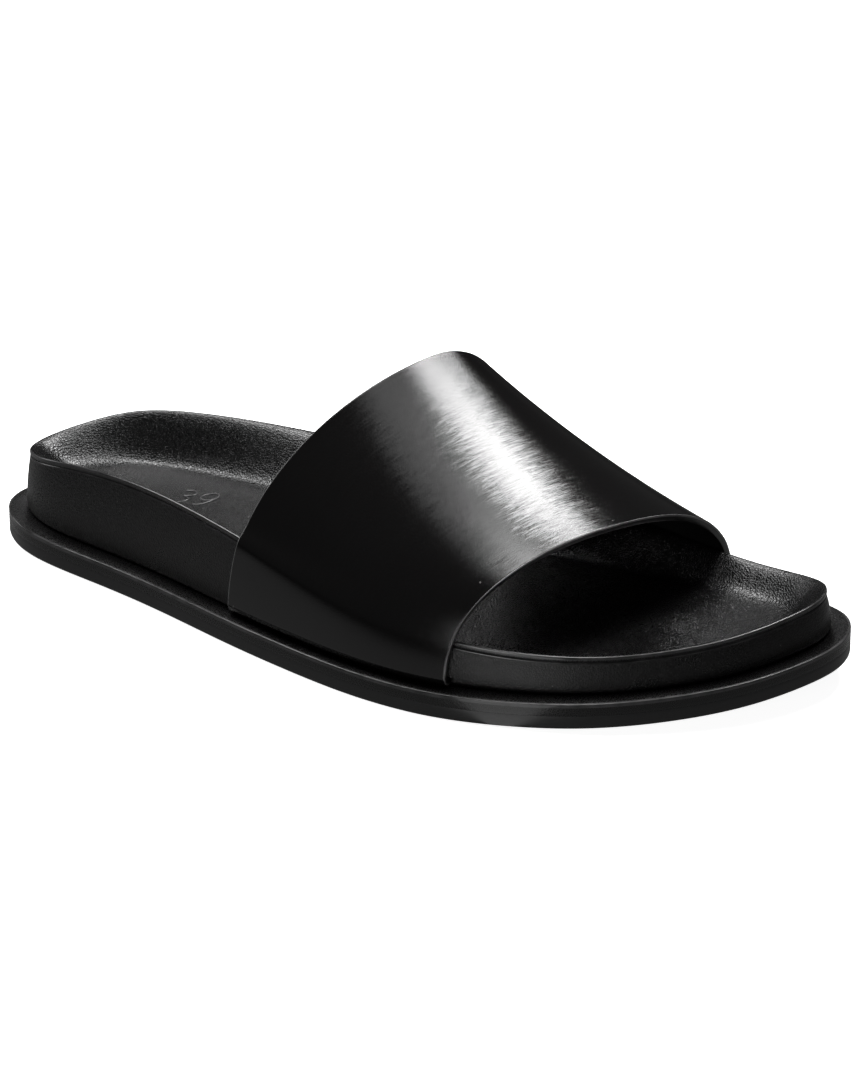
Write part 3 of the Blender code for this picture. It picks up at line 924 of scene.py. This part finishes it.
def polishedLeather():
    look = strap
    made, tree, shader = newMaterial("polishedLeather", look["roughness"], 0.5)
    lay, acrossWay = (addNode(tree, "ShaderNodeAttribute", {"attribute_name": label}).outputs["Vector"]
                      for label in ("lay", "acrossWay"))
    polish = useGroup(tree, handPolish, Patch=35.0, Tooth=3500.0)
    patches = polish.outputs["Patches"]
    speck = useGroup(tree, loneDust, Cells_per_metre=200.0, Size=0.07).outputs["Speck"]
    # fine hairs of the glazing run across the foot and tip the shine to and fro
    streaks = []
    for across, along, waver in look["hairs"]:
        sway = addNode(tree, "ShaderNodeTexNoise", Vector=lay, Scale=160.0, Detail=1.0)
        place = vectorNode(tree, "MULTIPLY_ADD", lay, (across, along, 0.0),
                           scaledPlace(tree, waver, sway.outputs["Color"]))
        noise = addNode(tree, "ShaderNodeTexNoise", Vector=place, Scale=1.0, Detail=3.0, Roughness=0.6)
        streaks.append(noise.outputs["Fac"])
    leather = blendColours(tree, streaks[0], look["colour"], look["colourStreak"])
    rough = mathNode(tree, "MULTIPLY_ADD", patches, 0.04, look["roughness"] - 0.03)
    setSockets(tree, shader, Base_Color=blendColours(tree, speck, leather, look["dustColour"]),
               Roughness=mathNode(tree, "MULTIPLY_ADD", streaks[1], 0.06, rough))
    # they show on the strap's top, and more towards its front
    parted = addNode(tree, "ShaderNodeSeparateXYZ", Vector=lay)
    nearFront = rangeNode(tree, parted.outputs[1], 0.0, look["hairFade"], look["hairAtRear"], 1.0)
    aside = mathNode(tree, "ADD", parted.outputs[0], -look["hairMiddle"])
    onTop = rangeNode(tree, mathNode(tree, "ABSOLUTE", aside), *look["hairReach"], 1.0, 0.0)
    patchy = mathNode(tree, "MULTIPLY", mathNode(tree, "MULTIPLY_ADD", patches, 0.8, 0.6),
                      mathNode(tree, "MULTIPLY", nearFront, onTop))
    tip = mathNode(tree, "MULTIPLY_ADD", streaks[1], 0.5, streaks[0])
    tip = mathNode(tree, "MULTIPLY", mathNode(tree, "SUBTRACT", tip, 0.75),
                   mathNode(tree, "MULTIPLY", patchy, look["hairTip"]))
    upright = addNode(tree, "ShaderNodeNewGeometry").outputs["Normal"]
    tipped = vectorNode(tree, "ADD", upright, scaledPlace(tree, tip, acrossWay))
    bump = bumpFrom(tree, shader, polish.outputs["Fine"], look["toothDepth"])
    setSockets(tree, bump, Normal=vectorNode(tree, "NORMALIZE", tipped))
    return made


def softLining():
    look = strap
    made, tree, shader = newMaterial("liningLeather", 0.5, 0.4)
    grain = useGroup(tree, leatherGrain, Cells_per_metre=2400.0, Unevenness=0.7)
    patches = useGroup(tree, handPolish, Patch=50.0, Tooth=4200.0).outputs["Patches"]
    setSockets(tree, shader,
               Base_Color=blendColours(tree, patches, look["liningColour"], look["liningWorn"]),
               Roughness=mathNode(tree, "MULTIPLY_ADD", patches, 0.12, 0.46))
    bumpFrom(tree, shader, grain.outputs["Height"], 0.012)
    return made


def edgePaint(name, colour, worn):
    made, tree, shader = newMaterial(name, 0.30, 0.8)
    polish = useGroup(tree, handPolish, Patch=120.0, Tooth=1500.0)
    setSockets(tree, shader, Base_Color=blendColours(tree, polish.outputs["Patches"], colour, worn),
               Roughness=mathNode(tree, "MULTIPLY_ADD", polish.outputs["Fine"], 0.06, 0.30))
    bumpFrom(tree, shader, polish.outputs["Fine"], 0.006)
    return made


# Rounded bead of paint along one cut edge of the strap.
def edgeBead(name, edge, normal, outward, materials):
    thick = strap["thick"]
    profile = []
    for angle in np.linspace(0, 2 * math.pi, 15)[:-1]:
        away = math.cos(angle)
        profile.append(((strap["beadOut"] if away > 0 else 0.45) * away,
                        -thick / 2 + (thick / 2 - 0.04) * math.sin(angle)))
    lines = [edge + out * outward + up * normal for out, up in profile]
    # the sides next to the outer face take the pale painted highlight
    sideMaterials = [1 if k in strap["paintedHighlightSides"] else 0 for k in range(len(lines))]
    return makeMesh(name, np.vstack(lines), tubeFaces(len(lines), len(edge)), materials,
                    np.r_[np.repeat(sideMaterials, len(edge) - 1), 0, 0], sharp=60)


def makeStrap():
    look = strap
    grid = strapGrid()
    normal = gridNormals(grid)
    walkAcross = np.zeros(grid.shape[:2])
    walkAcross[:, 1:] = np.cumsum(np.linalg.norm(np.diff(grid, axis=1), axis=2), axis=1)
    middle = grid.shape[1] // 2
    walkAcross -= walkAcross[:, middle:middle + 1]
    walkAlong = np.zeros(grid.shape[:2])
    walkAlong[1:] = np.cumsum(np.linalg.norm(np.diff(grid, axis=0), axis=2), axis=0)
    lay = np.stack([walkAcross, walkAlong, np.zeros_like(walkAlong)], -1) * mm
    fromEdge = np.minimum(walkAlong, walkAlong[-1:] - walkAlong)
    part = np.clip(1 - fromEdge / look["edgeRound"], 0, 1)
    drop = look["edgeRound"] * (1 - np.sqrt(1 - part ** 2))
    split = look["thick"] * look["leatherShare"]
    acrossWay = np.gradient(grid, axis=1)
    acrossWay /= np.linalg.norm(acrossWay, axis=2, keepdims=True)
    leather = sheetBetween("strap_leather", grid - normal * drop[..., None], grid - normal * split, lay,
                           [polishedLeather()], acrossWay)
    onBody(leather, "strap")
    lining = sheetBetween("strap_lining", (grid - normal * (split + 0.02))[1:-1],
                          (grid - normal * look["thick"])[1:-1], lay[1:-1], [softLining()])
    onBody(lining, None)
    # the second paint is a pale painted highlight
    paint = [edgePaint("edgePaint", look["edgeColour"], look["edgeWorn"]),
             edgePaint("paintedHighlightPaint", look["paintedHighlightColour"], look["paintedHighlightWorn"])]
    for name, row, before in (("strap_edge_rear", 0, 4), ("strap_edge_front", -1, -5)):
        outward = grid[row] - grid[before]
        outward /= np.linalg.norm(outward, axis=1, keepdims=True)
        onBody(edgeBead(name, grid[row], normal[row], outward, paint), None)


# The footbed is cut away where the strap's ends lie under it.
def cutForStrap(piece):
    look = strap
    for inner in (False, True):
        footName = "innerX" if inner else "outerX"
        ends = [strapSizes(share)[footName] for share in (0, 1)]
        lines = [sideLine(soleShape["lip"] - 8, inner),
                 sideLine(soleShape["lip"] + look["lasted"][0] + look["bend"] + 0.6, inner)]
        corners = []
        for x in np.linspace(ends[0] - look["spaceBeside"], ends[1] + look["spaceBeside"], 60):
            top = weltTop(x) + look["seat"] + look["thick"] + look["spaceAbove"]
            for line, z in ((lines[0], top - 6), (lines[1], top - 6), (lines[1], top), (lines[0], top)):
                corners.append((x, float(line(x)), z))
        faces = [[0, 3, 2, 1], [len(corners) - 4 + k for k in range(4)]]
        for row in range(len(corners) // 4 - 1):
            for k in range(4):
                after = (k + 1) % 4
                a = row * 4
                faces.append([a + k, a + after, a + 4 + after, a + 4 + k])
        cutter = makeMesh("strap_space", corners, faces, [])
        step = piece.modifiers.new("strapSpace", "BOOLEAN")
        step.operation = "DIFFERENCE"
        step.solver = "EXACT"
        step.object = cutter
        bpy.context.view_layer.update()
        graph = bpy.context.evaluated_depsgraph_get()
        cutMesh = bpy.data.meshes.new_from_object(piece.evaluated_get(graph))
        piece.modifiers.clear()
        old = piece.data
        piece.data = cutMesh
        bpy.data.meshes.remove(old)
        spare = cutter.data
        bpy.data.objects.remove(cutter)
        bpy.data.meshes.remove(spare)


for stage, make in (("outsole", makeOutsole), ("welt", makeWelt), ("footbed", makeFootbed),
                    ("cover", makeCover), ("strap", makeStrap)):
    make()
    print(stage, "made")


camera = {
    "azimuth": 27.39,
    "elevation": 27.59,
    "roll": 0.56,
    "distance": 1522.2,
    "focal": 5140.3,          # in picture heights of 1080
    "centre": (408.61, 606.61),
    "picture": (864, 1080),
    "sensor": 24.0,
}


def makeCamera():
    look = camera
    azimuth = math.radians(look["azimuth"])
    elevation = math.radians(look["elevation"])
    roll = math.radians(look["roll"])
    back = Vector((math.sin(azimuth) * math.cos(elevation), -math.cos(azimuth) * math.cos(elevation),
                   math.sin(elevation)))
    flatRight = Vector((math.cos(azimuth), math.sin(azimuth), 0.0))
    flatUp = back.cross(flatRight)
    right = flatRight * math.cos(roll) - flatUp * math.sin(roll)
    up = flatRight * math.sin(roll) + flatUp * math.cos(roll)
    data = bpy.data.cameras.new("camera")
    data.sensor_fit = "VERTICAL"
    data.sensor_height = look["sensor"]
    data.lens = look["focal"] * look["sensor"] / look["picture"][1]
    longSide = max(look["picture"])
    data.shift_x = (look["picture"][0] / 2 - look["centre"][0]) / longSide
    data.shift_y = (look["centre"][1] - look["picture"][1] / 2) / longSide
    data.clip_start = 0.05
    data.clip_end = 50.0
    made = bpy.data.objects.new("camera", data)
    bpy.context.scene.collection.objects.link(made)
    place = (Vector((0.0, -boxShift[1], 0.0)) + back * look["distance"]) * mm
    made.matrix_world = Matrix.Translation(place) @ Matrix((right, up, back)).transposed().to_4x4()
    bpy.context.scene.camera = made


makeCamera()
print("camera set")

studio = {
    "floorHalf": 8.0,
    "floorColour": (0.86, 0.86, 0.86),
    "floorGlow": 0.92,
    # painted glow in reflections: rays other than the camera's see the floor glow, pale close to the shoe
    # and dark further away, and the black leather mirrors this
    "paintedGlowNear": 0.27,
    "paintedGlowFar": 0.025,
    "paintedGlowReach": (0.27, 0.17),          # half sizes of the pale patch along X and Y
    "worldSeen": 1.0,
    "worldFill": 0.06,
    # flat panels that face down: shape, middle, width along X and Y, brightness
    "panels": (
        ("mainSoftbox", "RECTANGLE", (0.135, 0.490, 1.2), (0.43, 0.46), 19.0),
        ("softboxEnd", "ELLIPSE", (0.140, 0.710, 1.21), (0.42, 0.42), 8.0),
        ("dimPanel", "RECTANGLE", (0.030, -0.020, 1.2), (0.46, 0.54), 1.6),
        ("leftSoftbox", "RECTANGLE", (-0.650, 0.200, 1.2), (0.72, 0.46), 13.0),
        ("rimSoftbox", "RECTANGLE", (-0.970, 0.090, 1.2), (0.30, 0.30), 15.0),
        ("frontSoftbox", "RECTANGLE", (0.050, -0.046, 0.20), (0.040, 0.086), 10.0)),
    # panels that stand and face the shoe: azimuth, elevation, distance, width, height, brightness
    "walls": (
        ("backPanel", 119.0, 36.0, 2.4, 0.52, 0.46, 2.4),
        ("frontStrip", -91.0, 12.0, 2.0, 0.36, 1.00, 5.0),
        ("leftPanel", 172.0, 20.0, 2.0, 0.60, 0.50, 4.0)),
    # white card flat on the floor in front of the ball
    "card": ("floorCard", (0.059, -0.121, 0.001), (0.052, 0.148), 1.2),
}


def makePanel(name, shape, place, aim, wide, high, bright):
    data = bpy.data.lights.new(name, "AREA")
    data.shape = shape
    data.size = wide
    data.size_y = high
    data.energy = bright * math.pi * wide * high * (math.pi / 4 if shape == "ELLIPSE" else 1)
    light = bpy.data.objects.new(name, data)
    light.location = place
    light.rotation_mode = "QUATERNION"
    light.rotation_quaternion = (Vector(aim) - Vector(place)).to_track_quat("-Z", "Y")
    light.visible_camera = False
    bpy.context.scene.collection.objects.link(light)


def makeFloor():
    look = studio
    mesh = bpy.data.meshes.new("floor")
    half = look["floorHalf"]
    mesh.from_pydata([(-half, -half, 0), (half, -half, 0), (half, half, 0), (-half, half, 0)], [],
                     [(0, 1, 2, 3)])
    floor = bpy.data.objects.new("floor", mesh)
    bpy.context.scene.collection.objects.link(floor)
    floor.location.z = -0.0002
    made, tree, shader = newMaterial("paleFloor", 0.9, 0.1)
    setSockets(tree, shader, Base_Color=(*look["floorColour"], 1.0),
               Emission_Color=(1.0, 1.0, 1.0, 1.0), Emission_Strength=look["floorGlow"])
    reachX, reachY = look["paintedGlowReach"]
    stretched = vectorNode(tree, "MULTIPLY", objectPlace(tree), (1 / reachX, 1 / reachY, 0.0))
    strength = rangeNode(tree, vectorNode(tree, "LENGTH", stretched), 0.45, 1.25,
                         look["paintedGlowNear"], look["paintedGlowFar"])
    # painted glow that reflections see in place of the lit floor
    paintedGlow = addNode(tree, "ShaderNodeEmission", Strength=strength)
    both = addNode(tree, "ShaderNodeMixShader")
    seen = addNode(tree, "ShaderNodeLightPath").outputs["Is Camera Ray"]
    for socket, value in zip(both.inputs, (seen, paintedGlow.outputs[0], shader.outputs[0])):
        tree.links.new(value, socket)
    setSockets(tree, tree.nodes["Material Output"], Surface=both.outputs[0])
    mesh.materials.append(made)


def makeStudio():
    look = studio
    makeFloor()
    for name, shape, place, size, bright in look["panels"]:
        makePanel(name, shape, place, (place[0], place[1], 0.0), *size, bright)
    for name, azimuth, elevation, away, wide, high, bright in look["walls"]:
        side, up = math.radians(azimuth), math.radians(elevation)
        place = Vector((math.cos(side) * math.cos(up), math.sin(side) * math.cos(up), math.sin(up)))
        makePanel(name, "RECTANGLE", place * away, (0.0, 0.0, 0.02), wide, high, bright)
    name, place, size, bright = look["card"]
    makePanel(name, "ELLIPSE", place, (place[0], place[1], 1.0), *size, bright)
    world = bpy.data.worlds.new("studio")
    world.use_nodes = True
    tree = world.node_tree
    seen = addNode(tree, "ShaderNodeLightPath").outputs["Is Camera Ray"]
    strength = mathNode(tree, "MULTIPLY_ADD", seen, look["worldSeen"] - look["worldFill"],
                        look["worldFill"])
    setSockets(tree, tree.nodes["Background"], Color=(1.0, 1.0, 1.0, 1.0), Strength=strength)
    bpy.context.scene.world = world
    bpy.context.scene.view_settings.view_transform = "Standard"


makeStudio()
print("studio made")
